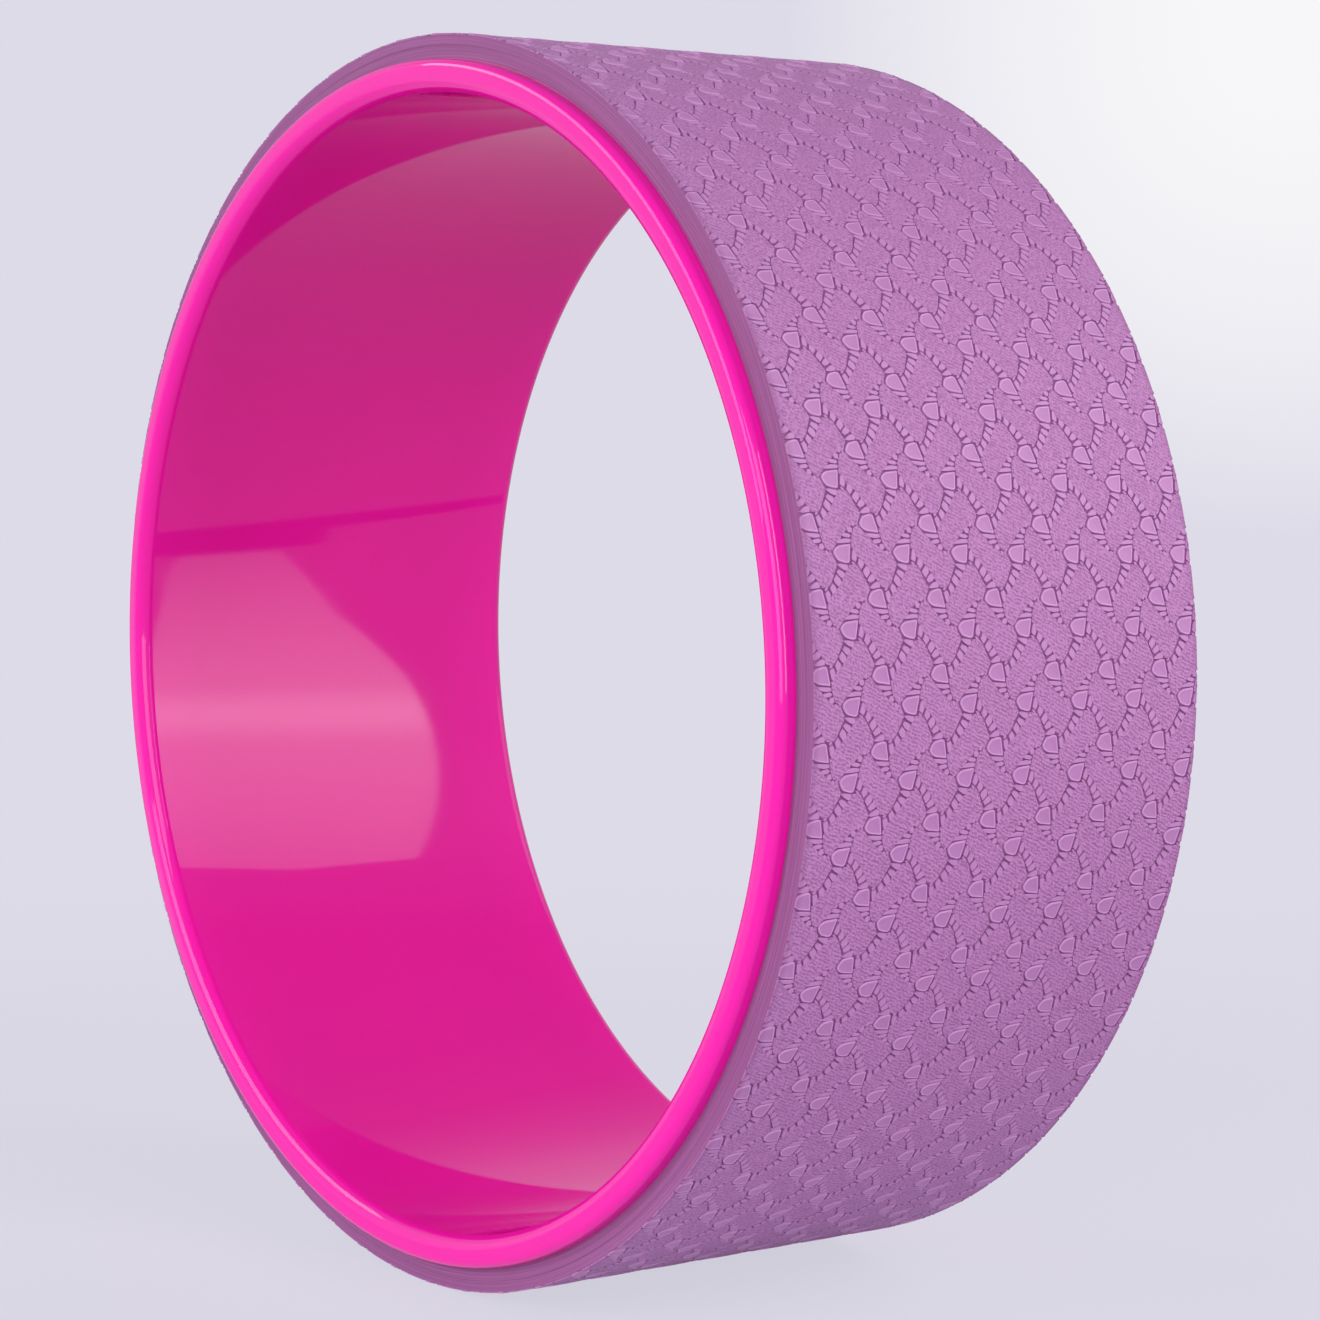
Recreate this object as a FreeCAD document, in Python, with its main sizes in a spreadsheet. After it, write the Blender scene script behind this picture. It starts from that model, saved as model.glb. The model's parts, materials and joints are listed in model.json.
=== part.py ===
import FreeCAD, Part
import Sketcher
import os

# Yoga wheel, standing on its tread: a moulded hoop with a strip of two-ply foam mat bonded round it.
# Origin at the wheel's centre, +Y along the wheel's axis, +Z up, millimetres.

doc = FreeCAD.newDocument("yoga_wheel")

# Driving sizes, each with what it measures
sheet = doc.addObject("Spreadsheet::Sheet", "sizes")
driving_sizes = [
    ("wheel_diameter", 330, "over the crests of the mat"),
    ("hoop_width", 130, "lip to lip"),
    ("hoop_wall", 8.5, "solid moulded wall"),
    ("lip_chamfer", 1.6, "edge broken on each lip beside the mat"),
    ("lip_round", 3.0, "rounding of each lip into the opening"),
    ("lip_reveal", 4.5, "bare lip from the hoop's side face to the mat's cut edge"),
    ("adhesive_thickness", 0.3, "bonding film under the mat"),
    ("base_ply_thickness", 3.3, "smooth inner ply of the mat"),
    ("top_ply_thickness", 3.2, "embossed outer ply of the mat, to its crests"),
    ("seam_gap", 0.4, "hairline between the butted ends of the strip, at the tread"),
    ("seam_angle", 160, "degrees from +X turning down, which puts the seam low on the -X side"),
]
# Sizes that follow from them
worked_out_sizes = [
    ("wheel_radius", "=wheel_diameter / 2", "over the crests"),
    ("ply_line_radius", "=wheel_radius - top_ply_thickness", "where the two plies meet"),
    ("mat_inner_radius", "=ply_line_radius - base_ply_thickness", "bonded face of the mat"),
    ("hoop_outer_radius", "=mat_inner_radius - adhesive_thickness", "the hoop under the film"),
    ("hoop_inner_radius", "=hoop_outer_radius - hoop_wall", "the opening"),
    ("half_hoop_width", "=hoop_width / 2", "from the middle to a lip's side face"),
    ("half_mat_width", "=half_hoop_width - lip_reveal", "from the middle to a cut edge"),
    ("strip_sweep", "=360 - seam_gap / wheel_radius * 180 / pi", "degrees of the wheel under the strip"),
]
for row, (alias, value, note) in enumerate(driving_sizes + worked_out_sizes, start=1):
    sheet.set("A%d" % row, alias)
    sheet.set("B%d" % row, str(value))
    sheet.set("C%d" % row, note)
    sheet.setAlias("B%d" % row, alias)
    doc.recompute()


def ring_section(body, inner_radius, outer_radius, half_width):
    """A ring's cross section: a rectangle with sketch X as the radius and sketch Y along the axis."""
    sketch = body.newObject("Sketcher::SketchObject", body.Label + "_section")
    plane = next(item for item in body.Origin.OriginFeatures if item.Role == "XY_Plane")
    sketch.AttachmentSupport = [(plane, "")]
    sketch.MapMode = "FlatFace"

    inner, outer, half = sheet.get(inner_radius), sheet.get(outer_radius), sheet.get(half_width)
    corners = [
        FreeCAD.Vector(inner, -half, 0),
        FreeCAD.Vector(outer, -half, 0),
        FreeCAD.Vector(outer, half, 0),
        FreeCAD.Vector(inner, half, 0),
    ]
    for start, end in zip(corners, corners[1:] + corners[:1]):
        sketch.addGeometry(Part.LineSegment(start, end), False)
    near_side, outside, far_side, inside = range(4)
    first_point, last_point = 1, 2
    radius_axis = -1
    origin_point = (-1, 1)

    for line in range(4):
        following = (line + 1) % 4
        sketch.addConstraint(Sketcher.Constraint("Coincident", line, last_point, following, first_point))
    sketch.addConstraint(Sketcher.Constraint("Horizontal", near_side))
    sketch.addConstraint(Sketcher.Constraint("Horizontal", far_side))
    sketch.addConstraint(Sketcher.Constraint("Vertical", inside))
    mirrored_corners = (outside, first_point, outside, last_point)
    sketch.addConstraint(Sketcher.Constraint("Symmetric", *mirrored_corners, radius_axis))

    bound_sizes = [
        ("inner_radius", "DistanceX", inside, first_point, inner, inner_radius),
        ("outer_radius", "DistanceX", outside, last_point, outer, outer_radius),
        ("half_width", "DistanceY", outside, last_point, half, half_width),
    ]
    for label, direction, line, point, value, alias in bound_sizes:
        index = sketch.addConstraint(Sketcher.Constraint(direction, *origin_point, line, point, value))
        sketch.renameConstraint(index, label)
        sketch.setExpression("Constraints." + label, "sizes." + alias)
    return sketch


def ring(label, inner_radius, outer_radius, half_width):
    """A body with its cross section turned once round the wheel's axis, starting at the seam."""
    body = doc.addObject("PartDesign::Body", label)
    body.Label = label
    section = ring_section(body, inner_radius, outer_radius, half_width)
    turned = body.newObject("PartDesign::Revolution", label + "_ring")
    turned.Profile = section
    turned.ReferenceAxis = (section, ["V_Axis"])
    turned.Angle = 360
    body.Placement = FreeCAD.Placement(
        FreeCAD.Vector(0, 0, 0), FreeCAD.Rotation(FreeCAD.Vector(0, 1, 0), sheet.get("seam_angle"))
    )
    body.setExpression("Placement.Rotation.Angle", "sizes.seam_angle")
    doc.recompute()
    return body


def strip_ring(label, inner_radius, outer_radius):
    """One layer of the mat strip: a ring as wide as the mat, open at the seam."""
    body = ring(label, inner_radius, outer_radius, "half_mat_width")
    body.Tip.setExpression("Angle", "sizes.strip_sweep")
    doc.recompute()
    return body


def dress_corners(body, kind, name, corner_radius, size_property, size):
    """Rounds or chamfers the two circular corners of a ring that lie at this radius, one on each side."""
    base = body.Tip
    wanted = sheet.get(corner_radius)
    corners = [
        "Edge%d" % number
        for number, edge in enumerate(base.Shape.Edges, start=1)
        if isinstance(edge.Curve, Part.Circle) and abs(edge.Curve.Radius - wanted) < Part.Precision.confusion()
    ]
    dressed = body.newObject(kind, name)
    dressed.Base = (base, corners)
    dressed.setExpression(size_property, "sizes." + size)
    doc.recompute()


# The hoop: one moulding, smooth inside, with both lips rounded for the hands and eased beside the mat
rim_hoop = ring("rim_hoop", "hoop_inner_radius", "hoop_outer_radius", "half_hoop_width")
dress_corners(rim_hoop, "PartDesign::Fillet", "rounded_lips", "hoop_inner_radius", "Radius", "lip_round")
dress_corners(rim_hoop, "PartDesign::Chamfer", "eased_lips", "hoop_outer_radius", "Size", "lip_chamfer")

# The mat strip: adhesive film, base ply and top ply, cut square to one length and butted at the seam
adhesive_layer = strip_ring("adhesive_layer", "hoop_outer_radius", "mat_inner_radius")
mat_base_ply = strip_ring("mat_base_ply", "mat_inner_radius", "ply_line_radius")
mat_top_ply = strip_ring("mat_top_ply", "ply_line_radius", "wheel_radius")

# Every feature has to be sound before a piece is written
doc.recompute()
pieces = [rim_hoop, adhesive_layer, mat_base_ply, mat_top_ply]
for item in doc.Objects:
    if "Invalid" in item.State or "Error" in item.State:
        raise RuntimeError("%s did not build" % item.Label)
os.makedirs("parts", exist_ok=True)
for piece in pieces:
    if piece.Shape.isNull() or not piece.Shape.isValid() or len(piece.Shape.Solids) != 1:
        raise RuntimeError("%s is not one sound solid" % piece.Label)
for piece in pieces:
    piece.Shape.exportStep("parts/%s.step" % piece.Label)
    print("%s: %.1f cubic cm" % (piece.Label, piece.Shape.Volume / 1000))
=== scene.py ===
import json
import math
import bpy
import numpy as np
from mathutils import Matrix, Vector


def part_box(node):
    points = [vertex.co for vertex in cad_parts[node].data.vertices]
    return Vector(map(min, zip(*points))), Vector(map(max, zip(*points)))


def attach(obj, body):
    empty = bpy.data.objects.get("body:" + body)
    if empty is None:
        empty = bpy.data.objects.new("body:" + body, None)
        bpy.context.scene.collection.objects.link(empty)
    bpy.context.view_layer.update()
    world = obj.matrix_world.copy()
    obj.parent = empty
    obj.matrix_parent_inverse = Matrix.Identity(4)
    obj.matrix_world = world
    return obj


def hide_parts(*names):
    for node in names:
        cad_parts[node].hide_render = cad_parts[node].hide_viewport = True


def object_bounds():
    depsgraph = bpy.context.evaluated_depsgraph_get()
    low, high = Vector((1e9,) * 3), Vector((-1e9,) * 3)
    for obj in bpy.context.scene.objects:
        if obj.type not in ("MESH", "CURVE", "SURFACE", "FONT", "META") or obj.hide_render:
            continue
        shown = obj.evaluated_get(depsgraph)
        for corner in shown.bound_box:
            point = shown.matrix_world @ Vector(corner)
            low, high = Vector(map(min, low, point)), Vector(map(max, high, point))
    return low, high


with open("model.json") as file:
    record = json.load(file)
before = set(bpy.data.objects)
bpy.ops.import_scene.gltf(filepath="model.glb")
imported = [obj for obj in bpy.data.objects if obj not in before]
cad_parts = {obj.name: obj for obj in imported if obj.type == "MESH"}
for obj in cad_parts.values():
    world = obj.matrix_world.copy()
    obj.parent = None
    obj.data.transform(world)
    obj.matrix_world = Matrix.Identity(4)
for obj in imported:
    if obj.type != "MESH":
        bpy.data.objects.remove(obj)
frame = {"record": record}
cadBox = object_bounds()

mm = 0.001
hair = 0.001 * mm  # closer than this is the same place
weld = 0.005 * mm  # points this close are merged


def reach(node):  # a ring's outer radius
    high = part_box(node)[1]
    return max(high.x, high.z)


def boreRadius():
    mount = next(m for m in frame["record"]["mounts"] if m["name"] == "open_middle")
    return mount["dims"]["r_mm"] * mm


wheel = {
    "crest": reach("mat_top_ply"),  # radius over the embossed crests
    "plyLine": reach("mat_base_ply"),
    "bond": reach("adhesive_layer"),
    "hoop": reach("rim_hoop"),
    "bore": boreRadius(),
    "lipFace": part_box("rim_hoop")[1].y,
    "cutEdge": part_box("mat_top_ply")[1].y,
    "seam": math.radians(-160),  # turn about the axis, from +X upwards
    "seamGap": 0.4 * mm,
}
seamTurn = wheel["seamGap"] / wheel["crest"]
print("sizes", {name: round(value, 5) for name, value in wheel.items()})


# modelling helpers
def deselect():
    bpy.ops.object.select_all(action="DESELECT")


def makeActive(piece):
    deselect()
    piece.select_set(True)
    bpy.context.view_layer.objects.active = piece


def joinAll(pieces, name):
    makeActive(pieces[0])
    for piece in pieces:
        piece.select_set(True)
    bpy.ops.object.join()
    pieces[0].name = name
    pieces[0].data.name = name
    return pieces[0]


def applyModifier(piece, kind, **settings):
    makeActive(piece)
    bpy.ops.object.modifier_add(type=kind)
    modifier = piece.modifiers[-1]
    for setting, value in settings.items():
        setattr(modifier, setting, value)
    bpy.ops.object.modifier_apply(modifier=modifier.name)


def faceOutward():  # the last step of an edit
    bpy.ops.mesh.select_all(action="SELECT")
    bpy.ops.mesh.normals_make_consistent(inside=False)
    bpy.ops.object.mode_set(mode="OBJECT")


# node helpers
def srgb(red, green, blue):  # screen values to linear light
    return tuple(((c / 255 + 0.055) / 1.055) ** 2.4 for c in (red, green, blue)) + (1.0,)


white = (1, 1, 1, 1)
black = (0, 0, 0, 1)


def feed(tree, source, socket):  # links an output, or sets a plain value
    if isinstance(source, bpy.types.NodeSocket):
        tree.links.new(source, socket)
    else:
        socket.default_value = source


def addNode(tree, kind, label="", **inputs):
    node = tree.nodes.new("ShaderNode" + kind)
    node.label = label
    for name, source in inputs.items():
        feed(tree, source, node.inputs[name.replace("_", " ")])
    return node


def addMath(tree, operation, first, second=None):
    node = tree.nodes.new("ShaderNodeMath")
    node.operation = operation
    feed(tree, first, node.inputs[0])
    if second is not None:
        feed(tree, second, node.inputs[1])
    return node.outputs[0]


def addNoise(tree, label, spot, scale, detail):
    return addNode(tree, "TexNoise", label, Vector=spot, Scale=scale, Detail=detail).outputs[0]


def addRange(tree, label, value, smooth=False, **limits):
    node = addNode(tree, "MapRange", label, Value=value, **limits)
    if smooth:
        node.interpolation_type = "SMOOTHSTEP"
    return node.outputs[0]


def addBlend(tree, share, first, second):  # between two colours
    node = tree.nodes.new("ShaderNodeMix")
    node.data_type = "RGBA"
    for name, source in (("Factor", share), ("A", first), ("B", second)):
        feed(tree, source, node.inputs[name])
    return node.outputs["Result"]


def addBump(tree, label, depth, height):
    return addNode(tree, "Bump", label, Distance=depth, Strength=1.0, Height=height)


def mixShaders(tree, share, first, second):
    node = tree.nodes.new("ShaderNodeMixShader")
    for slot, source in enumerate((share, first, second)):
        feed(tree, source, node.inputs[slot])
    return node.outputs[0]


def objectSpot(tree):
    return addNode(tree, "TexCoord").outputs["Object"]


def directRays(tree):  # 1 where the camera sees a thing, straight, mirrored or through something clear
    rays = addNode(tree, "LightPath").outputs
    seen = addMath(tree, "MAXIMUM", rays["Is Camera Ray"], rays["Is Glossy Ray"])
    return addMath(tree, "MAXIMUM", seen, rays["Is Transmission Ray"])


def newMaterial(name, **inputs):
    material = bpy.data.materials.new(name)
    material.use_nodes = True
    shader = material.node_tree.nodes["Principled BSDF"]
    for socket, value in inputs.items():
        shader.inputs[socket.replace("_", " ")].default_value = value
    return material, material.node_tree, shader


def newGroup(name, inputs, outputs):
    group = bpy.data.node_groups.new(name, "ShaderNodeTree")
    for direction, sockets in (("INPUT", inputs), ("OUTPUT", outputs)):
        for socket, kind in sockets.items():
            group.interface.new_socket(socket, in_out=direction, socket_type="NodeSocket" + kind)
    given = group.nodes.new("NodeGroupInput").outputs
    result = group.nodes.new("NodeGroupOutput").inputs
    return group, given, result


def placeGroup(tree, group, **inputs):
    node = tree.nodes.new("ShaderNodeGroup")
    node.node_tree = group
    for socket, value in inputs.items():
        node.inputs[socket].default_value = value
    return node.outputs


# colour and pores of the foam
grain = {
    "driftScale": 28.0,
    "driftDetail": 3.0,
    "driftShare": 0.6,
    "poreScale": 2600.0,
    "poreDetail": 2.0,
    "poreShare": 0.4,
}


def makeFoamGrain():
    group, given, result = newGroup(
        "foamGrain", {"Tint": "Color", "Shade": "Color"}, {"Color": "Color", "Height": "Float"}
    )
    spot = objectSpot(group)
    cloud = addNoise(group, "slow colour drift", spot, grain["driftScale"], grain["driftDetail"])
    pores = addNoise(group, "closed cells", spot, grain["poreScale"], grain["poreDetail"])
    drift = addMath(group, "MULTIPLY", cloud, grain["driftShare"])
    speck = addMath(group, "MULTIPLY", pores, grain["poreShare"])
    share = addMath(group, "ADD", drift, speck)
    feed(group, addBlend(group, share, given["Shade"], given["Tint"]), result["Color"])
    feed(group, pores, result["Height"])
    return group


# fine hatching pressed into the fields, with painted shade in its sunken strokes
hatching = {
    "pitch": 0.9 * mm,
    "turn": math.radians(25),
    "depth": 0.12 * mm,
    "noiseDetail": 1.0,
    "wobbleScale": 420.0,
    "wobbleShare": 1.5,  # strokes wander by up to this many pitches
    "breakScale": 700.0,
    "strokeShare": 0.75,
    "dotScale": 1500.0,
    "dotShare": 3.4,
    "dotLevel": 1.7,
    "strokeTop": 0.3,  # the colour goes over to the painted valley shade between these heights
    "strokeFoot": -0.6,
    # painted shade: the colour that the sunken strokes take
    "valleyShade": srgb(158, 98, 156),
}


def makeHatch():
    group, given, result = newGroup(
        "embossedHatch", {"Turn": "Float", "Pitch": "Float"}, {"Height": "Float"}
    )
    spot = objectSpot(group)
    place = addNode(group, "SeparateXYZ", Vector=spot).outputs
    along = addMath(group, "MULTIPLY", addMath(group, "ARCTAN2", place["Z"], place["X"]), wheel["crest"])
    across = place["Y"]
    wobble = addNoise(group, "hand-cut wobble", spot, hatching["wobbleScale"], hatching["noiseDetail"])
    breaks = addNoise(group, "broken strokes", spot, hatching["breakScale"], hatching["noiseDetail"])
    dots = addNoise(group, "dots between the strokes", spot, hatching["dotScale"], hatching["noiseDetail"])
    slant = addMath(group, "MULTIPLY", across, addMath(group, "SINE", given["Turn"]))
    level = addMath(group, "MULTIPLY", along, addMath(group, "COSINE", given["Turn"]))
    lane = addMath(group, "DIVIDE", addMath(group, "ADD", slant, level), given["Pitch"])
    lane = addMath(group, "ADD", lane, addMath(group, "MULTIPLY", wobble, hatching["wobbleShare"]))
    wave = addMath(group, "SINE", addMath(group, "MULTIPLY", lane, 2 * math.pi))
    stroke = addMath(group, "MULTIPLY", wave, addMath(group, "MULTIPLY", breaks, hatching["strokeShare"]))
    spots = addMath(group, "MULTIPLY", dots, hatching["dotShare"])
    spots = addMath(group, "SUBTRACT", spots, hatching["dotLevel"])
    feed(group, addMath(group, "ADD", stroke, spots), result["Height"])
    return group


# painted shade darkens the tread towards its cut edges, where they round off, and the blade left marks on
# the edges themselves
paintedEdgeShade = {"tint": srgb(150, 91, 144), "width": 2.2 * mm, "share": 0.6}
bladeMarks = {
    "tint": srgb(150, 90, 142),
    "scale": 2600.0,
    "stretch": 0.0006,
    "detail": 3.0,
    "faintest": 0.4,
    "clearest": 0.7,
}


def makeEdgeShadeAndMarks():
    group, given, result = newGroup(
        "edgeShadeAndMarks",
        {"Width": "Float", "Stretch": "Float", "Scale": "Float"},
        {"Near": "Float", "Streak": "Float"},
    )
    place = addNode(group, "SeparateXYZ", Vector=objectSpot(group)).outputs
    inward = addMath(group, "SUBTRACT", wheel["cutEdge"], addMath(group, "ABSOLUTE", place["Y"]))
    near = addRange(
        group, "close to a cut edge", inward, smooth=True, From_Max=given["Width"], To_Min=1.0, To_Max=0.0
    )
    turn = addMath(group, "ARCTAN2", place["Z"], place["X"])
    squares = [addMath(group, "POWER", place[axis], 2.0) for axis in ("X", "Z")]
    radius = addMath(group, "SQRT", addMath(group, "ADD", *squares))
    length = addMath(group, "MULTIPLY", turn, given["Stretch"])
    lane = addNode(group, "CombineXYZ", "round the wheel", X=radius, Y=length).outputs[0]
    marks = addNoise(group, "blade marks", lane, given["Scale"], bladeMarks["detail"])
    streak = addRange(
        group, "clear streaks", marks, From_Min=bladeMarks["faintest"], From_Max=bladeMarks["clearest"]
    )
    feed(group, near, result["Near"])
    feed(group, streak, result["Streak"])
    return group


foamGrain = makeFoamGrain()
hatch = makeHatch()
edgeShadeAndMarks = makeEdgeShadeAndMarks()

# foams of the mat: light and dark tone, roughness, and the depth of the pores in millimetres
foams = {
    "crestFoam": {"tint": srgb(179, 121, 178), "shade": srgb(172, 113, 171), "rough": 0.5, "pore": 0.03},
    # painted highlight: the knobs' rims and shoulders are lighter, as if catching the light
    "rimHighlightFoam": {"tint": srgb(200, 145, 199), "shade": srgb(192, 137, 191), "rough": 0.5, "pore": 0.03},
    "padFoam": {"tint": srgb(187, 130, 186), "shade": srgb(179, 122, 178), "rough": 0.5, "pore": 0.03},
    "fieldFoam": {"tint": srgb(187, 127, 185), "shade": srgb(179, 119, 177), "rough": 0.62, "pore": 0.05},
    # painted shade: the groove floors are darker than the fields they lie between
    "grooveShadeFoam": {"tint": srgb(136, 76, 133), "shade": srgb(126, 68, 123), "rough": 0.7, "pore": 0.05},
    "cutFoam": {"tint": srgb(135, 76, 127), "shade": srgb(124, 67, 117), "rough": 0.7, "pore": 0.05},
}
foamSkin = {"specular": 0.25, "sheen": 0.02}


def foamMaterial(name, hatched=False, cut=False):
    look = foams[name]
    material, tree, shader = newMaterial(
        name,
        Roughness=look["rough"],
        Specular_IOR_Level=foamSkin["specular"],
        Sheen_Weight=foamSkin["sheen"],
    )
    cells = placeGroup(tree, foamGrain, Tint=look["tint"], Shade=look["shade"])
    color = cells["Color"]
    pores = addBump(tree, "closed cells", look["pore"] * mm, cells["Height"])
    if hatched:
        lines = placeGroup(tree, hatch, Turn=hatching["turn"], Pitch=hatching["pitch"])["Height"]
        ridges = addBump(tree, "fine hatching", hatching["depth"], lines)
        feed(tree, ridges.outputs["Normal"], pores.inputs["Normal"])
        # painted shade: the colour darkens in the sunken strokes
        sunken = addRange(
            tree, "sunken strokes", lines, From_Min=hatching["strokeTop"], From_Max=hatching["strokeFoot"]
        )
        color = addBlend(tree, sunken, color, hatching["valleyShade"])
    marks = placeGroup(
        tree, edgeShadeAndMarks, Width=paintedEdgeShade["width"], Stretch=bladeMarks["stretch"], Scale=bladeMarks["scale"]
    )
    if cut:
        color = addBlend(tree, marks["Streak"], color, bladeMarks["tint"])
    else:
        # painted shade: the tread darkens towards its cut edges
        edgeShadeShare = addMath(tree, "MULTIPLY", marks["Near"], paintedEdgeShade["share"])
        color = addBlend(tree, edgeShadeShare, color, paintedEdgeShade["tint"])
    feed(tree, color, shader.inputs["Base Color"])
    feed(tree, pores.outputs["Normal"], shader.inputs["Normal"])
    return material


crestFoam = foamMaterial("crestFoam")
rimHighlightFoam = foamMaterial("rimHighlightFoam")
padFoam = foamMaterial("padFoam")
fieldFoam = foamMaterial("fieldFoam", hatched=True)
grooveShadeFoam = foamMaterial("grooveShadeFoam")
cutFoam = foamMaterial("cutFoam", cut=True)

# gloss of the hoop
gloss = {
    "pink": srgb(234, 24, 164),
    "deepPink": srgb(229, 19, 157),
    "ior": 1.5,
    "specular": 0.25,
    "flowScale": 9.0,
    "flowDetail": 2.0,
    "ripple": 0.1 * mm,
    "hazeScale": 60.0,
    "hazeDetail": 5.0,
    "hazeLow": 0.3,
    "hazeHigh": 0.7,
    "smoothest": 0.035,
    "roughest": 0.06,
}


def hoopMaterial():
    material, tree, shader = newMaterial(
        "hoopGloss", IOR=gloss["ior"], Specular_IOR_Level=gloss["specular"]
    )
    spot = objectSpot(tree)
    flow = addNoise(tree, "moulding flow", spot, gloss["flowScale"], gloss["flowDetail"])
    haze = addNoise(tree, "handling haze", spot, gloss["hazeScale"], gloss["hazeDetail"])
    polish = addRange(
        tree, "polish", haze, From_Min=gloss["hazeLow"], From_Max=gloss["hazeHigh"],
        To_Min=gloss["smoothest"], To_Max=gloss["roughest"]
    )
    ripple = addBump(tree, "moulding ripple", gloss["ripple"], flow)
    feed(tree, addBlend(tree, flow, gloss["deepPink"], gloss["pink"]), shader.inputs["Base Color"])
    feed(tree, polish, shader.inputs["Roughness"])
    feed(tree, ripple.outputs["Normal"], shader.inputs["Normal"])
    return material


# film of adhesive
film = {
    "dark": srgb(150, 62, 122),
    "light": srgb(168, 74, 138),
    "rough": 0.55,
    "smearScale": 160.0,
    "smearDetail": 4.0,
}


def filmMaterial():
    material, tree, shader = newMaterial("bondFilm", Roughness=film["rough"])
    smear = addNoise(tree, "spread marks", objectSpot(tree), film["smearScale"], film["smearDetail"])
    feed(tree, addBlend(tree, smear, film["dark"], film["light"]), shader.inputs["Base Color"])
    return material


hoopGloss = hoopMaterial()
bondFilm = filmMaterial()
print("materials made")

# rings turned from their cross sections, like work on a lathe
ringSharp = math.radians(35)  # steeper edges stay sharp


def roundCorners(piece, middle, side, size, steps):  # side: -1 inside the middle radius, 1 outside it
    bpy.ops.object.mode_set(mode="EDIT")
    bpy.ops.mesh.select_mode(type="VERT")
    bpy.ops.mesh.select_all(action="DESELECT")
    bpy.ops.object.mode_set(mode="OBJECT")
    for vertex in piece.data.vertices:
        vertex.select = (math.hypot(vertex.co.x, vertex.co.z) - middle) * side > 0
    bpy.ops.object.mode_set(mode="EDIT")
    bpy.ops.mesh.bevel(offset=size, segments=steps, affect="VERTICES")
    bpy.ops.object.mode_set(mode="OBJECT")


def turnRing(name, inner, outer, halfWidth, shape, seamed):
    deselect()
    bpy.ops.mesh.primitive_plane_add(size=1)
    piece = bpy.context.object
    piece.name = name
    piece.data.name = name
    for vertex in piece.data.vertices:
        radius = outer if vertex.co.x > 0 else inner
        along = math.copysign(halfWidth, vertex.co.y)
        vertex.co = (radius * math.cos(wheel["seam"]), along, radius * math.sin(wheel["seam"]))
    middle = (inner + outer) / 2
    for side, size in ((-1, shape["innerRound"]), (1, shape["outerRound"])):
        if size > 0:
            roundCorners(piece, middle, side, size, shape["roundSteps"])
    bpy.ops.object.mode_set(mode="EDIT")
    bpy.ops.mesh.select_all(action="SELECT")
    if not seamed:  # a whole ring has no end faces
        bpy.ops.mesh.delete(type="ONLY_FACE")
        bpy.ops.mesh.select_all(action="SELECT")
    sweep = 2 * math.pi - (seamTurn if seamed else 0)
    bpy.ops.mesh.spin(steps=shape["turnSteps"], angle=sweep, center=(0, 0, 0), axis=(0, 1, 0))
    bpy.ops.mesh.select_all(action="SELECT")
    bpy.ops.mesh.remove_doubles(threshold=weld)
    faceOutward()
    makeActive(piece)
    bpy.ops.object.shade_smooth_by_angle(angle=ringSharp)
    applyModifier(piece, "WEIGHTED_NORMAL", keep_sharp=True)  # broad faces stay flat beside the rounds
    return piece


hoopShape = {"innerRound": 4.2 * mm, "outerRound": 2.4 * mm, "roundSteps": 10, "turnSteps": 360}
hoopMoulding = turnRing(
    "hoop_moulding", wheel["bore"], wheel["hoop"], wheel["lipFace"], hoopShape, seamed=False
)
hoopMoulding.data.materials.append(hoopGloss)
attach(hoopMoulding, "root")
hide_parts("rim_hoop")
print("hoop turned", len(hoopMoulding.data.polygons), "faces")

filmShape = {"innerRound": 0, "outerRound": 0, "roundSteps": 1, "turnSteps": 240}
filmStrip = turnRing("bond_film", wheel["hoop"], wheel["bond"], wheel["cutEdge"], filmShape, seamed=True)
filmStrip.data.materials.append(bondFilm)
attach(filmStrip, "root")
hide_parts("adhesive_layer")

basePlyShape = {"innerRound": 0, "outerRound": 0.1 * mm, "roundSteps": 2, "turnSteps": 360}
basePly = turnRing(
    "mat_inner_ply", wheel["bond"], wheel["plyLine"], wheel["cutEdge"], basePlyShape, seamed=True
)
basePly.data.materials.append(cutFoam)
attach(basePly, "root")
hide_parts("mat_base_ply")
print("film and inner ply turned")

# the embossed tread: knobs at the corners of a diamond net, with a trail of pads along each groove
tread = {
    "acrossPitch": 17.69 * mm,
    "alongPitch": 17.62 * mm,
    "partnerBelow": 10.7 * mm,  # a knob's mirrored partner, half a pitch aside
    "skew": -0.022,  # the strip was cut a little off the pattern
    "knobAcross": 3.42 * mm,  # one knob's place, from the wheel's middle plane and height
    "knobAlong": -2.2 * mm,
    "floorDepth": 0.45 * mm,  # groove bottoms, under the crests
    "sunk": 0.08 * mm,  # raised shapes start this far inside what they stand on
    "edgeTuck": 0.05 * mm,  # they end this far inside the strip's cut edges
    "acrossCount": 9,
    "alongCount": 63,
    "firstAcross": -4,
    "firstAlong": -27,
    "sharp": math.radians(30),
}
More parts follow.
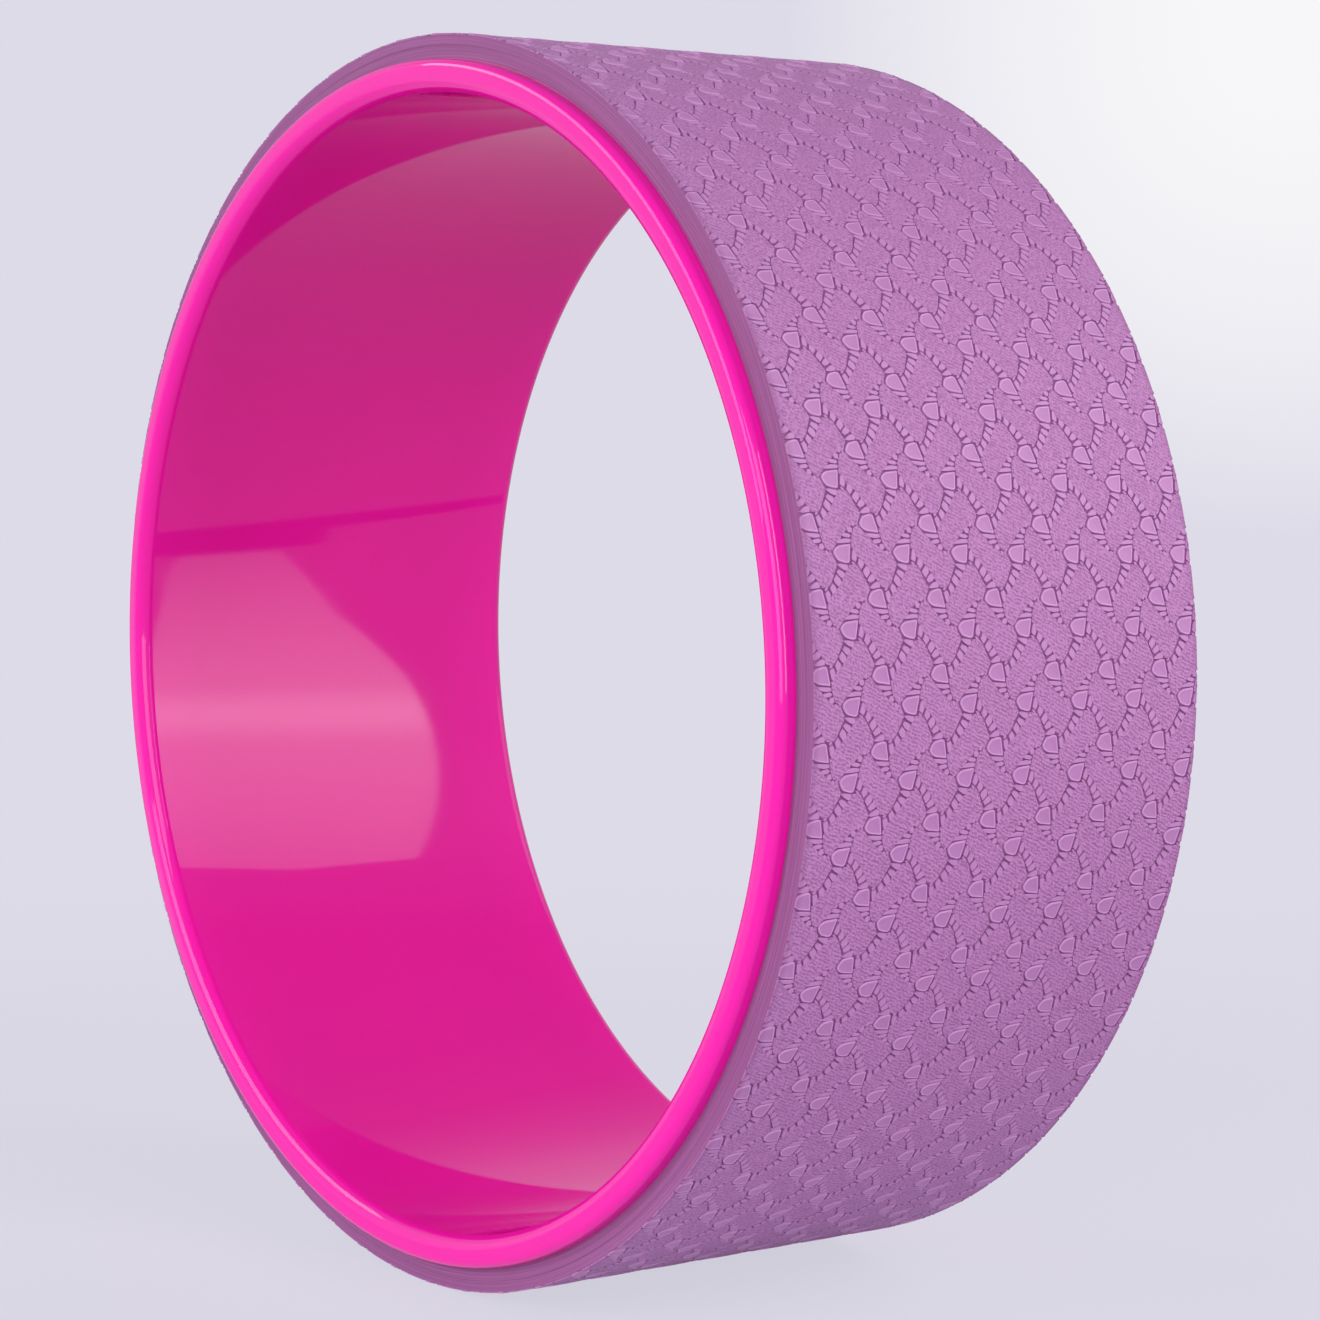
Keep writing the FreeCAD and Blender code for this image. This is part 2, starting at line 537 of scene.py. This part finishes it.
# outlines in millimetres from a knob's middle: first across the tread, then up along it
fieldForm = {
    "depth": 0.16 * mm,  # of its top, under the crests
    "gap": 0.03 * mm,  # its foot stands this far inside the grown outline
    "shoulder": 0.08 * mm,
    "corner": 0,
    "grow": 1.012,  # the outline is drawn a little small
    "folds": 4,  # it bends round the wheel in this many folds
    "outline": [
        # along the pads
        (1.6, -2.8), (1.15, -3.5), (0.4, -4.4), (-0.15, -5.2), (-0.9, -6.1), (-1.5, -7.0), (-2.2, -7.9),
        (-3.2, -8.8), (-4.2, -9.6), (-4.85, -10.3), (-5.0, -11.5),
        # left partner
        (-6.0, -11.9), (-5.8, -12.9), (-5.6, -14.1), (-5.2, -15.4), (-4.5, -16.6), (-3.05, -17.3),
        # next knob
        (-2.2, -16.4), (-1.3, -15.3), (0.2, -14.1), (0.6, -13.2), (1.6, -12.7), (2.3, -12.0), (3.0, -11.6),
        (3.8, -11.2), (4.3, -10.6), (4.8, -10.9), (5.4, -11.7),
        # right partner
        (5.75, -10.8), (6.15, -9.8), (6.75, -8.75), (6.9, -8.0),
        # up along the groove
        (6.45, -7.15), (5.8, -6.0), (5.25, -4.8), (4.65, -3.75), (3.85, -2.85), (2.5, -2.65),
    ],
}
knobForm = {
    "depth": 0,
    "gap": 0.02 * mm,
    "shoulder": 0.16 * mm,
    "corner": 0.3 * mm,
    "grow": 1.05,
    "rim": 0.28 * mm,  # its top is dished inside this rim
    "dish": 0.05 * mm,
    "outline": [
        (-2.6, 0.3), (-2.25, -0.7), (-1.4, -1.8), (0.7, -2.35),
        (1.65, -2.15), (2.6, 2.1), (-0.9, 1.7), (-2.0, 1.1),
    ],
}
padForm = {
    "depth": 0.04 * mm,
    "gap": 0,
    "shoulder": 0.08 * mm,
    "corner": 0,
    "grow": 1.13,
    "outlines": [
        # over the knob, then up to the right
        [(-1.2, 2.3), (0.6, 2.35), (2.6, 2.5), (2.75, 3.2), (1.3, 3.4), (-0.3, 3.1)],
        [(0.5, 4.15), (1.0, 3.85), (2.3, 3.6), (3.05, 4.0), (2.5, 4.5), (1.0, 4.7)],
        [(2.2, 5.8), (2.6, 4.9), (3.4, 4.8), (3.75, 5.7), (3.0, 6.2)],
        [(3.75, 6.6), (4.3, 6.3), (4.7, 6.6), (4.65, 7.3), (4.1, 7.4)],
        # under the knob, then down to the left
        [(-1.85, -2.65), (-0.8, -2.5), (1.0, -2.75), (1.1, -3.5), (0.6, -4.0), (0.0, -3.9), (-0.9, -3.4)],
        [(-2.2, -4.5), (-1.6, -3.9), (-0.4, -4.4), (0.05, -5.0), (-0.4, -5.9), (-0.9, -5.8), (-1.7, -5.2)],
        [(-3.3, -6.2), (-2.5, -5.1), (-1.5, -6.1), (-1.4, -7.1), (-1.9, -7.9), (-2.4, -7.5), (-3.1, -6.8)],
        [(-4.6, -8.2), (-3.9, -7.1), (-3.0, -8.0), (-3.0, -9.2), (-3.6, -9.75), (-4.1, -9.4)],
        [(-6.2, -9.4), (-5.3, -8.8), (-4.8, -9.6), (-4.9, -11.2), (-5.4, -11.55), (-5.8, -11.0)],
        # two dots on the fields
        [(-6.4, -8.5), (-5.8, -7.8), (-5.4, -8.2), (-6.0, -8.8)],
        [(3.65, 2.2), (4.1, 2.05), (4.25, 2.8), (3.85, 2.95)],
    ],
}


def grown(outline, share):  # about its own middle
    middle = np.mean(outline, axis=0)
    return [tuple(middle + (np.array(point) - middle) * share) for point in outline]


def selectTop(piece):  # the faces that lie highest
    bpy.ops.object.mode_set(mode="OBJECT")
    peak = max(face.center.z for face in piece.data.polygons)
    for face in piece.data.polygons:
        face.select = face.center.z > peak - hair
    bpy.ops.object.mode_set(mode="EDIT")


def raiseShape(name, outline, form, material):
    base = -tread["floorDepth"] - tread["sunk"]
    deselect()
    bpy.ops.mesh.primitive_circle_add(vertices=len(outline), radius=1, fill_type="NGON")
    piece = bpy.context.object
    piece.name = name
    for vertex, (across, along) in zip(piece.data.vertices, grown(outline, form["grow"])):
        vertex.co = (across * mm, along * mm, base)
    bpy.ops.object.mode_set(mode="EDIT")
    bpy.ops.mesh.select_all(action="SELECT")
    if form["corner"] > 0:
        bpy.ops.mesh.select_mode(type="VERT")
        bpy.ops.mesh.bevel(offset=form["corner"], segments=1, affect="VERTICES")
    bpy.ops.mesh.select_mode(type="FACE")
    bpy.ops.mesh.select_all(action="SELECT")
    if form["gap"] > 0:  # a margin comes off all round
        bpy.ops.mesh.inset(thickness=form["gap"], depth=0)
        bpy.ops.mesh.select_all(action="INVERT")
        bpy.ops.mesh.delete(type="FACE")
        bpy.ops.mesh.select_all(action="SELECT")
    rise = -form["depth"] - form["shoulder"] - base
    bpy.ops.mesh.extrude_region_move(TRANSFORM_OT_translate={"value": (0, 0, rise)})
    bpy.ops.mesh.inset(thickness=form["shoulder"], depth=form["shoulder"])
    faceOutward()
    piece.data.materials.append(material)
    return piece


def cutFolds(piece, low, high, folds):  # lets a broad top follow the wheel's curve
    for fold in range(1, folds + 1):
        selectTop(piece)
        level = low + (high - low) * fold / (folds + 1)
        bpy.ops.mesh.bisect(plane_co=(0, level, 0), plane_no=(0, 1, 0), threshold=hair)
    bpy.ops.object.mode_set(mode="OBJECT")


def dishTop(piece, rim, depth, material):
    makeActive(piece)
    piece.data.materials.append(material)
    piece.active_material_index = len(piece.data.materials) - 1
    bpy.ops.object.mode_set(mode="EDIT")
    bpy.ops.mesh.select_mode(type="FACE")
    selectTop(piece)
    bpy.ops.mesh.inset(thickness=rim, depth=-depth)
    bpy.ops.object.material_slot_assign()
    bpy.ops.object.mode_set(mode="OBJECT")


def mirrorPartner(half):
    makeActive(half)
    bpy.ops.object.duplicate()
    partner = bpy.context.object
    partner.location = (-tread["acrossPitch"] / 2, -tread["partnerBelow"], 0)
    partner.scale = (1, -1, 1)
    bpy.ops.object.transform_apply(location=True, rotation=True, scale=True)
    bpy.ops.object.mode_set(mode="EDIT")
    faceOutward()
    return partner


def repeatAlong(piece, count, step):
    applyModifier(
        piece, "ARRAY", use_relative_offset=False, use_constant_offset=True,
        constant_offset_displace=step, count=count
    )


def readPoints(piece):
    points = np.empty(len(piece.data.vertices) * 3, np.float32)
    piece.data.vertices.foreach_get("co", points)
    return points.reshape(-1, 3).astype(float)


def writePoints(piece, points):
    piece.data.vertices.foreach_set("co", points.astype(np.float32).ravel())
    piece.data.update()


def trimStrip(piece):
    side = wheel["cutEdge"] - tread["edgeTuck"]
    start = (wheel["seam"] + seamTurn) * wheel["crest"] + tread["edgeTuck"]
    end = (wheel["seam"] + 2 * math.pi) * wheel["crest"] - tread["edgeTuck"]
    cuts = [
        ((-side, 0, 0), (-1, 0, 0)),
        ((side, 0, 0), (1, 0, 0)),
        ((0, start, 0), (0, -1, 0)),
        ((0, end, 0), (0, 1, 0)),
    ]
    makeActive(piece)
    bpy.ops.object.mode_set(mode="EDIT")
    for place, outward in cuts:
        bpy.ops.mesh.select_all(action="SELECT")
        bpy.ops.mesh.bisect(
            plane_co=place, plane_no=outward, use_fill=True, clear_outer=True, threshold=hair
        )
    bpy.ops.mesh.select_all(action="SELECT")
    bpy.ops.mesh.dissolve_degenerate(threshold=hair)
    bpy.ops.mesh.delete_loose(use_verts=True, use_edges=True, use_faces=False)
    faceOutward()


def layTread(half, name):  # laid out flat, trimmed and then wrapped round the wheel
    cell = joinAll([half, mirrorPartner(half)], name)
    repeatAlong(cell, tread["acrossCount"], (tread["acrossPitch"], 0, 0))
    repeatAlong(cell, tread["alongCount"], (0, tread["alongPitch"], 0))
    flat = readPoints(cell)
    flat[:, 0] += tread["knobAcross"] + tread["firstAcross"] * tread["acrossPitch"]
    flat[:, 1] += tread["knobAlong"] + tread["firstAlong"] * tread["alongPitch"]
    flat[:, 1] += flat[:, 0] * tread["skew"]
    writePoints(cell, flat)
    trimStrip(cell)
    flat = readPoints(cell)
    turn = flat[:, 1] / wheel["crest"]
    radius = wheel["crest"] + flat[:, 2]
    writePoints(cell, np.column_stack((radius * np.cos(turn), flat[:, 0], radius * np.sin(turn))))
    makeActive(cell)
    bpy.ops.object.shade_smooth_by_angle(angle=tread["sharp"])
    print(name, "laid round the wheel", len(cell.data.polygons), "faces")
    return cell


def makeTiles():
    field = raiseShape("field", fieldForm["outline"], fieldForm, fieldFoam)
    heights = [along * mm for across, along in fieldForm["outline"]]
    cutFolds(field, min(heights), max(heights), fieldForm["folds"])
    # the knob is made in the painted highlight colour; its dished top then takes the crest colour
    knob = raiseShape("knob", knobForm["outline"], knobForm, rimHighlightFoam)
    dishTop(knob, knobForm["rim"], knobForm["dish"], crestFoam)
    return layTread(joinAll([field, knob], "tiles"), "tread_tiles")


def makePads():
    pads = [raiseShape("pad", outline, padForm, padFoam) for outline in padForm["outlines"]]
    return layTread(joinAll(pads, "pads"), "tread_pads")


def paintOuter(piece, beyond, material):
    piece.data.materials.append(material)
    for face in piece.data.polygons:
        if math.hypot(face.center.x, face.center.z) > beyond:
            face.material_index = len(piece.data.materials) - 1


slabShape = {"innerRound": 0.1 * mm, "outerRound": 0.15 * mm, "roundSteps": 2, "turnSteps": 360}
slabTop = wheel["crest"] - tread["floorDepth"]
topSlab = turnRing("mat_outer_ply", wheel["plyLine"], slabTop, wheel["cutEdge"], slabShape, seamed=True)
topSlab.data.materials.append(cutFoam)
# the groove floors take the painted shade colour
paintOuter(topSlab, slabTop - slabShape["outerRound"], grooveShadeFoam)
topPly = joinAll([topSlab, makeTiles()], "mat_outer_ply")
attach(topPly, "root")
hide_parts("mat_top_ply")
treadPads = makePads()
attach(treadPads, "root")

# pale floor and backdrop
stage = {
    "floorRadius": 1.4,
    "floorSides": 96,
    "floorRough": 0.9,
    "floorLift": 0.85,  # share of the floor that shows its own colour, whatever light falls on it
    "fadeStart": 0.2,
    "fadeEnd": 0.9,
    "haze": srgb(221, 219, 232),
    "glow": srgb(247, 247, 249),
    "glowWay": (-0.686, 0.719, 0.111),
    "glowEdge": math.cos(math.radians(8)),
    "ceiling": srgb(150, 148, 158),  # the backdrop dims overhead
    "ceilingStart": math.sin(math.radians(32)),
    "ceilingEnd": math.sin(math.radians(50)),
    "ambient": 0.15,
}


def makeFloor():
    deselect()
    bpy.ops.mesh.primitive_circle_add(
        vertices=stage["floorSides"], radius=stage["floorRadius"], fill_type="NGON",
        location=(0, 0, cadBox[0][2])
    )
    floor = bpy.context.object
    floor.name = "floor"
    material, tree, shader = newMaterial(
        "paleFloor", Roughness=stage["floorRough"], Base_Color=stage["haze"]
    )
    span = tree.nodes.new("ShaderNodeVectorMath")
    span.operation = "LENGTH"
    feed(tree, objectSpot(tree), span.inputs[0])
    fade = addRange(
        tree, "floor melts into the backdrop", span.outputs["Value"], smooth=True,
        From_Min=stage["fadeStart"], From_Max=stage["fadeEnd"]
    )
    glowing = addNode(tree, "Emission", "even tone", Color=stage["haze"], Strength=1.0).outputs[0]
    lift = addMath(tree, "MULTIPLY", directRays(tree), stage["floorLift"])
    lifted = mixShaders(tree, lift, shader.outputs[0], glowing)
    clear = addNode(tree, "BsdfTransparent").outputs[0]
    feed(tree, mixShaders(tree, fade, lifted, clear), tree.nodes["Material Output"].inputs["Surface"])
    floor.data.materials.append(material)


def makeBackdrop():
    world = bpy.data.worlds.new("studio")
    bpy.context.scene.world = world
    world.use_nodes = True
    tree = world.node_tree
    way = addNode(tree, "TexCoord").outputs["Generated"]
    toward = tree.nodes.new("ShaderNodeVectorMath")
    toward.operation = "DOT_PRODUCT"
    toward.inputs[1].default_value = stage["glowWay"]
    feed(tree, way, toward.inputs[0])
    spread = addRange(tree, "soft glow", toward.outputs["Value"], From_Min=stage["glowEdge"], From_Max=1.0)
    height = addNode(tree, "SeparateXYZ", Vector=way).outputs["Z"]
    overhead = addRange(
        tree, "dim ceiling", height, From_Min=stage["ceilingStart"], From_Max=stage["ceilingEnd"]
    )
    color = addBlend(tree, spread, stage["haze"], stage["glow"])
    color = addBlend(tree, overhead, color, stage["ceiling"])
    seen = tree.nodes["Background"]
    feed(tree, color, seen.inputs["Color"])
    ambient = addNode(tree, "Background", "fill light", Color=white, Strength=stage["ambient"])
    shown = mixShaders(tree, directRays(tree), ambient.outputs[0], seen.outputs[0])
    feed(tree, shown, tree.nodes["World Output"].inputs["Surface"])


makeFloor()
makeBackdrop()

# softboxes: place, size and brightness, where 1 lights like a white wall
softboxes = {
    "keySoftbox": {"at": (1.1, -1.35, 0.45), "size": (1.0, 1.2), "bright": 4.0, "mirrored": True},
    "leftSoftbox": {"at": (-1.3, -1.0, 0.3), "size": (1.2, 1.4), "bright": 0.45, "mirrored": True},
    "frontSoftbox": {"at": (-0.3, -1.7, 0.35), "size": (1.0, 1.2), "bright": 5.1, "mirrored": False},
    "sideSoftbox": {"at": (1.65, 0.0, 0.5), "size": (0.4, 1.2), "bright": 7.1, "mirrored": True},
    "rearSoftbox": {"at": (1.1, 1.1, 1.1), "size": (0.9, 0.9), "bright": 5.0, "mirrored": False},
    "backSoftbox": {"at": (-1.2, 1.4, 0.5), "size": (1.0, 1.2), "bright": 2.5, "mirrored": False},
}


def addSoftbox(name, box):
    deselect()
    bpy.ops.object.light_add(type="AREA", location=box["at"])
    lamp = bpy.context.object
    lamp.name = name
    lamp.data.shape = "RECTANGLE"
    lamp.data.size, lamp.data.size_y = box["size"]
    lamp.data.energy = box["bright"] * math.pi * box["size"][0] * box["size"][1]
    lamp.rotation_euler = lamp.location.to_track_quat("Z", "Y").to_euler()
    lamp.visible_glossy = box["mirrored"]


for name, box in softboxes.items():
    addSoftbox(name, box)

# cards that show only as gleams: a tall one on the inner wall, with its dark foot, and two on the lips
gleamCard = {
    "at": (0.272, 0.269, 0.080),
    "away": 31.0,  # its bearing and its tilt, in degrees
    "tilt": 6.5,
    "bright": 7.4,
    "half": 0.25,  # half of its height
    "outline": [
        (-0.068, -0.240), (-0.022, -0.237), (-0.010, -0.136), (0.021, -0.045), (0.090, 0.220),
        (0.039, 0.250), (-0.130, 0.250), (-0.110, 0.0), (-0.089, -0.150), (-0.080, -0.211),
    ],
    "tones": [(0.0, 0.25), (0.42, 0.66), (0.48, 1.0), (0.52, 1.0), (0.58, 0.68), (1.0, 0.34)],
    "foot": [
        (-0.100, -0.243, 0.0), (0.0, -0.243, 0.0), (0.006, -0.236, -0.062), (0.130, -0.233, -0.088),
        (0.130, -0.232, -0.1), (-0.100, -0.232, -0.1),
    ],
}
lipCard = {
    "at": (0.27, 0.86, 0.33),
    "away": 62.0,
    "tilt": 15.0,
    "bright": 2.5,
    "half": 0.25,
    "outline": [(-0.27, -0.24), (0.27, -0.24), (0.27, 0.24), (-0.27, 0.24)],
    "tones": [(0.0, 0.8), (1.0, 1.0)],
}
streakCard = {
    "at": (-0.728, -1.039, 0.592),
    "away": 235.0,
    "tilt": 25.0,
    "bright": 5.5,
    "half": 0.55,
    "outline": [
        (0.40, -0.55), (0.24, -0.27), (0.07, -0.11), (-0.14, 0.0), (-0.55, 0.03), (-0.70, 0.38),
        (0.0, 0.61), (0.46, 0.50), (0.90, 0.24), (1.30, -0.15),
    ],
    "tones": [(0.0, 0.6), (0.4, 1.0), (0.8, 1.0), (1.0, 0.4)],
}


def cardMaterial(name, card):
    material, tree, shader = newMaterial(
        name, Roughness=1.0, Base_Color=black, Emission_Strength=card["bright"]
    )
    height = addNode(tree, "SeparateXYZ", Vector=objectSpot(tree)).outputs["Y"]
    level = addRange(tree, "foot to top", height, From_Min=-card["half"], From_Max=card["half"])
    tones = tree.nodes.new("ShaderNodeValToRGB")
    stops = tones.color_ramp.elements
    while len(stops) < len(card["tones"]):
        stops.new(0.5)
    for stop, (position, tone) in zip(stops, card["tones"]):
        stop.position = position
        stop.color = (tone, tone, tone, 1)
    feed(tree, level, tones.inputs[0])
    feed(tree, tones.outputs["Color"], shader.inputs["Emission Color"])
    return material


def addCard(name, card, corners, material):
    deselect()
    bpy.ops.mesh.primitive_circle_add(vertices=len(corners), radius=1, fill_type="NGON")
    sheet = bpy.context.object
    sheet.name = name
    for vertex, corner in zip(sheet.data.vertices, corners):
        vertex.co = corner
    away, tilt = math.radians(card["away"]), math.radians(card["tilt"])
    behind = Vector((math.cos(away) * math.cos(tilt), math.sin(away) * math.cos(tilt), math.sin(tilt)))
    sheet.location = card["at"]
    sheet.rotation_euler = behind.to_track_quat("Z", "Y").to_euler()
    sheet.data.materials.append(material)
    sheet.visible_camera = False
    sheet.visible_diffuse = False
    sheet.visible_transmission = False
    sheet.visible_shadow = False


for name, card in (("gleamCard", gleamCard), ("lipCard", lipCard), ("streakCard", streakCard)):
    addCard(name, card, [(across, up, 0) for across, up in card["outline"]], cardMaterial(name, card))
darkFoot = newMaterial("darkFoot", Roughness=1.0, Base_Color=black)[0]
addCard("cardFoot", gleamCard, gleamCard["foot"], darkFoot)

# camera at the photograph's angle
view = {
    "azimuth": 53.725,
    "elevation": 3.678,
    "away": 0.96383,
    "aside": 0.01377,
    "above": -0.00087,
    "lens": 95.84,
    "sensor": 36,
}


def addCamera():
    azimuth, elevation = math.radians(view["azimuth"]), math.radians(view["elevation"])
    right = Vector((math.cos(azimuth), math.sin(azimuth), 0))
    ahead = Vector((-math.sin(azimuth), math.cos(azimuth), 0)) * math.cos(elevation)
    ahead.z = -math.sin(elevation)
    place = right * view["aside"] + right.cross(ahead) * view["above"] - ahead * view["away"]
    deselect()
    bpy.ops.object.camera_add(location=place, rotation=(math.pi / 2 - elevation, 0, azimuth))
    camera = bpy.context.object
    camera.data.lens = view["lens"]
    camera.data.sensor_width = view["sensor"]
    bpy.context.scene.camera = camera


addCamera()
bpy.context.scene.view_settings.view_transform = "Standard"
print("stage, lamps and camera set")
